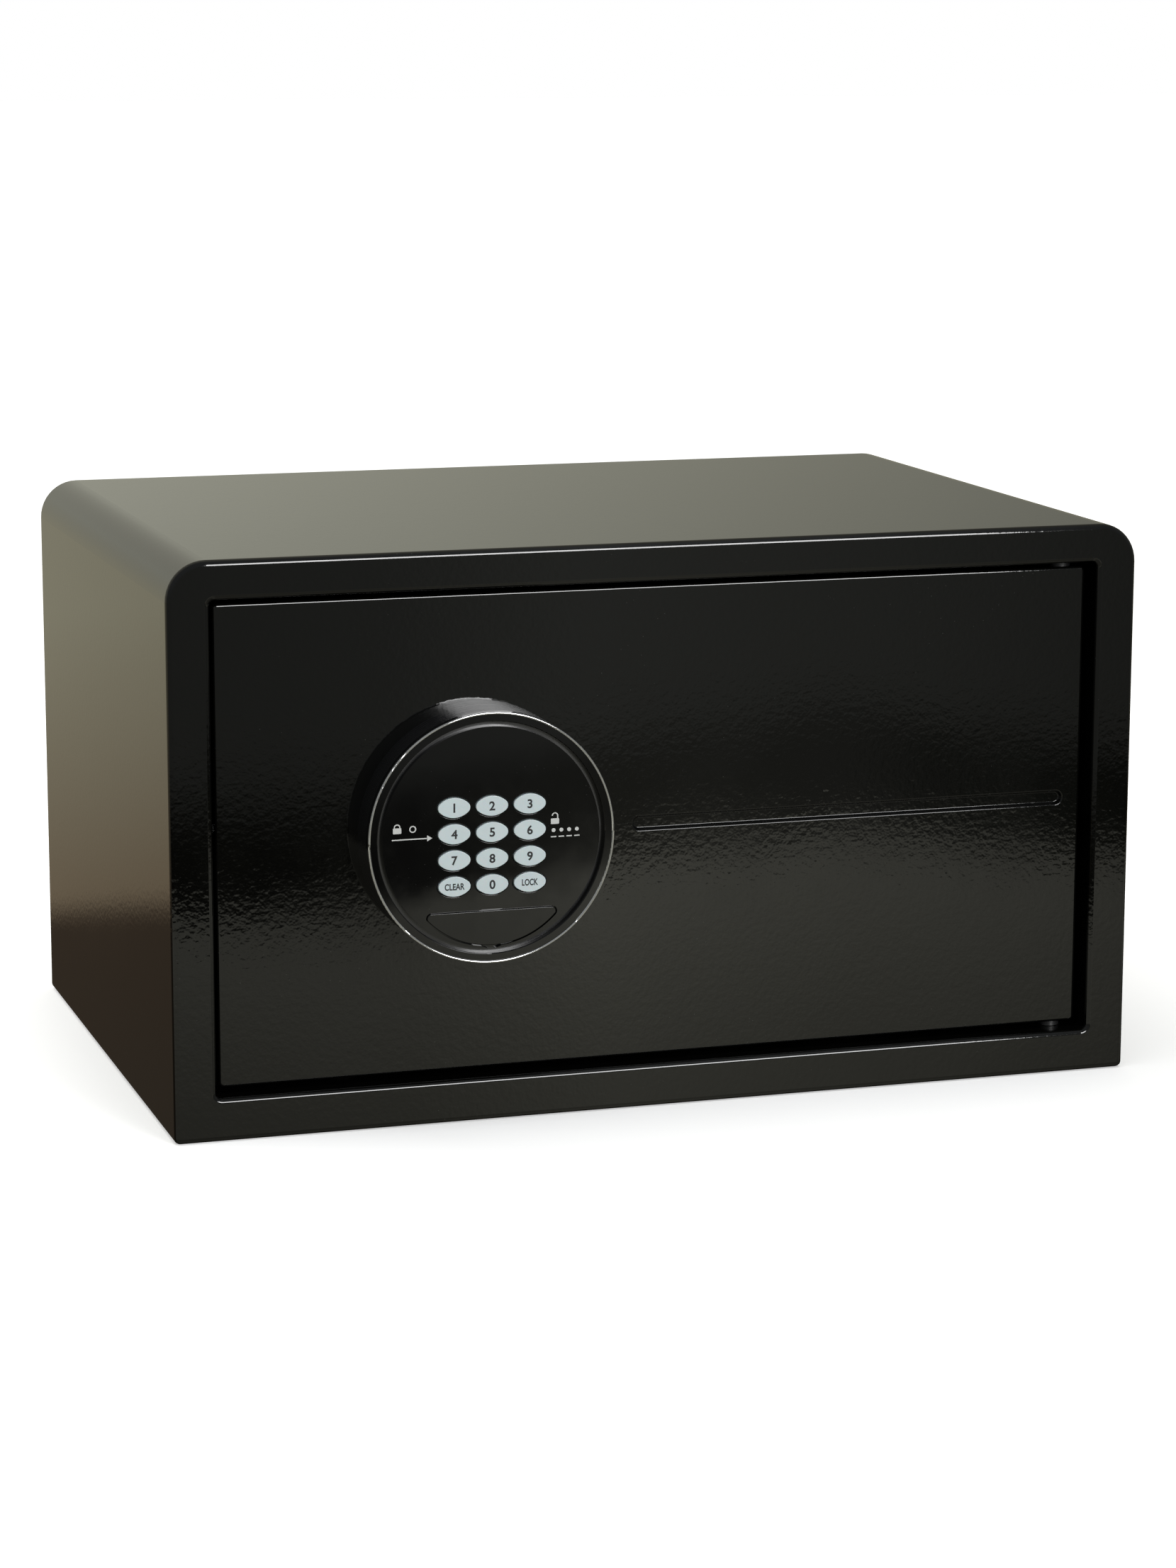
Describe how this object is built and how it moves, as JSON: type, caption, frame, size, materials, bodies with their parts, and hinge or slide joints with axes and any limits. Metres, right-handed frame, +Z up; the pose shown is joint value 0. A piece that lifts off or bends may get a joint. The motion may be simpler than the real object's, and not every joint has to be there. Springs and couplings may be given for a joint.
{
  "type": "in room safe",
  "caption": "Front-opening electronic room safe with a recessed hinged door, a raised round keypad and a motor-driven sliding bolt, for storing valuables.",
  "frame": {"origin": "centre of the base footprint, on the underside of the body", "axes": "+Z up; the door faces -Y; +X is to the right when facing the door, where its hinge is"},
  "size_m": [0.43, 0.295, 0.2445],
  "materials": {
    "powder_coat": "gloss black powder coat with light orange peel",
    "powder_coat_matt": "satin black powder coat",
    "felt": "charcoal needle felt",
    "zinc_steel": "zinc plated sheet steel",
    "bright_steel": "bright turned steel",
    "chrome": "bright chrome plating",
    "black_oxide": "black oxide steel",
    "gloss_black": "high gloss black ABS",
    "silicone": "grey silicone rubber",
    "circuit_board": "green solder mask on glass fibre laminate",
    "display_red": "dark red tinted display window",
    "black_plastic": "moulded black ABS",
    "white_nylon": "natural nylon",
    "cell_jacket": "printed cell jacket, left plain",
    "cable": "black PVC jacket",
    "brass_gear": "machined brass",
    "key_white": "pale blue-white moulded key"
  },
  "bodies": {
    "cabinet": {"body_shell": "powder_coat", "front_frame": "powder_coat", "back_panel": "powder_coat", "floor_plate": "powder_coat_matt", "floor_mat": "felt", "hinge_brackets": "black_oxide", "hinge_pins": "black_oxide"},
    "door": {"hinge_blocks": "black_oxide", "hinge_bushes": "black_plastic", "door_panel": "powder_coat", "mechanism_cover": "powder_coat_matt", "cover_posts": "zinc_steel", "cover_screws": "black_oxide", "keypad_housing": "gloss_black", "housing_screws": "bright_steel", "trim_ring": "gloss_black", "chrome_bead": "chrome", "fascia": "gloss_black", "keypad_mat": "silicone", "keypad_board": "circuit_board", "display_module": "display_red", "service_socket": "black_plastic", "lock_plate": "zinc_steel", "lock_plate_nuts": "bright_steel", "bolt_guide_lower": "white_nylon", "bolt_guide_upper": "white_nylon", "guide_posts": "bright_steel", "gearbox": "black_plastic", "lock_motor": "bright_steel", "limit_switches": "black_plastic", "control_board": "circuit_board", "board_posts": "white_nylon", "board_components": "black_plastic", "battery_tray": "black_plastic", "battery_contacts": "bright_steel", "battery_cells": "cell_jacket", "keypad_lead": "cable", "motor_lead": "cable", "battery_lead": "cable"},
    "bolt_work": {"bolt_carriage": "zinc_steel", "bolt_rack": "brass_gear", "locking_bolt_lower": "bright_steel", "locking_bolt_upper": "bright_steel"},
    "drive_gear": {"drive_pinion": "brass_gear", "output_shaft": "bright_steel"},
    "cover_flap": {"service_cover": "gloss_black"},
    "cell_lid": {"battery_lid": "black_plastic"},
    "button_one": {"key_one": "key_white"},
    "button_two": {"key_two": "key_white"},
    "button_three": {"key_three": "key_white"},
    "button_four": {"key_four": "key_white"},
    "button_five": {"key_five": "key_white"},
    "button_six": {"key_six": "key_white"},
    "button_seven": {"key_seven": "key_white"},
    "button_eight": {"key_eight": "key_white"},
    "button_nine": {"key_nine": "key_white"},
    "button_clear": {"key_clear": "key_white"},
    "button_zero": {"key_zero": "key_white"},
    "button_lock": {"key_lock": "key_white"}
  },
  "joints": [
    {"name": "door_swing", "type": "hinge", "parent": "cabinet", "child": "door", "pos_m": [0.18525, -0.1273, 0.12225], "axis": [0, 0, 1], "range_deg": [0, 100]},
    {"name": "bolt_throw", "type": "slide", "parent": "door", "child": "bolt_work", "axis": [-1, 0, 0], "range_m": [0, 0.015]},
    {"name": "pinion_turn", "type": "hinge", "parent": "door", "child": "drive_gear", "pos_m": [-0.036, -0.0995, 0.112], "axis": [0, 1, 0], "range_deg": [0, 107.5]},
    {"name": "service_cover_pull", "type": "slide", "parent": "door", "child": "cover_flap", "axis": [0, -1, 0], "range_m": [0, 0.012]},
    {"name": "battery_lid_pull", "type": "slide", "parent": "door", "child": "cell_lid", "axis": [0, 1, 0], "range_m": [0, 0.02]},
    {"name": "press_one", "type": "slide", "parent": "door", "child": "button_one", "axis": [0, 1, 0], "range_m": [0, 0.001], "stiffness_N_per_m": 600},
    {"name": "press_two", "type": "slide", "parent": "door", "child": "button_two", "axis": [0, 1, 0], "range_m": [0, 0.001], "stiffness_N_per_m": 600},
    {"name": "press_three", "type": "slide", "parent": "door", "child": "button_three", "axis": [0, 1, 0], "range_m": [0, 0.001], "stiffness_N_per_m": 600},
    {"name": "press_four", "type": "slide", "parent": "door", "child": "button_four", "axis": [0, 1, 0], "range_m": [0, 0.001], "stiffness_N_per_m": 600},
    {"name": "press_five", "type": "slide", "parent": "door", "child": "button_five", "axis": [0, 1, 0], "range_m": [0, 0.001], "stiffness_N_per_m": 600},
    {"name": "press_six", "type": "slide", "parent": "door", "child": "button_six", "axis": [0, 1, 0], "range_m": [0, 0.001], "stiffness_N_per_m": 600},
    {"name": "press_seven", "type": "slide", "parent": "door", "child": "button_seven", "axis": [0, 1, 0], "range_m": [0, 0.001], "stiffness_N_per_m": 600},
    {"name": "press_eight", "type": "slide", "parent": "door", "child": "button_eight", "axis": [0, 1, 0], "range_m": [0, 0.001], "stiffness_N_per_m": 600},
    {"name": "press_nine", "type": "slide", "parent": "door", "child": "button_nine", "axis": [0, 1, 0], "range_m": [0, 0.001], "stiffness_N_per_m": 600},
    {"name": "press_clear", "type": "slide", "parent": "door", "child": "button_clear", "axis": [0, 1, 0], "range_m": [0, 0.001], "stiffness_N_per_m": 600},
    {"name": "press_zero", "type": "slide", "parent": "door", "child": "button_zero", "axis": [0, 1, 0], "range_m": [0, 0.001], "stiffness_N_per_m": 600},
    {"name": "press_lock", "type": "slide", "parent": "door", "child": "button_lock", "axis": [0, 1, 0], "range_m": [0, 0.001], "stiffness_N_per_m": 600}
  ],
  "couplings": [
    {"joint": "pinion_turn", "follows": "bolt_throw", "rad_per_m": 125}
  ]
}
